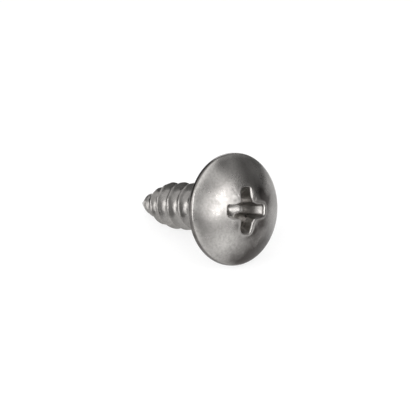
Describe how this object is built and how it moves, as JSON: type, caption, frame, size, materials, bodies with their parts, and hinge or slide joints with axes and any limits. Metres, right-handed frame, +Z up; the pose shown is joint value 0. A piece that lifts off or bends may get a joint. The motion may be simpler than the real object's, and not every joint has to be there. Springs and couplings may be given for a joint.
{
  "type": "screw",
  "caption": "Self-tapping screw with a low domed truss head, a cross recess and a coarse right-hand thread running out to a gimlet point, lying on its side.",
  "frame": {"origin": "on the floor the screw lies on, at the middle of its bounding box in plan", "axes": "+Z up; +X runs along the lying screw from tip to head; +Y across it. The screw's own axis lies in the XZ plane and leans 17.4 degrees up towards the head"},
  "size_m": [0.0144, 0.0094, 0.0089],
  "materials": {
    "steel": "satin grey steel, slightly mottled, with bright worn thread crests"
  },
  "bodies": {
    "root": {"screw": "steel"}
  },
  "joints": []
}
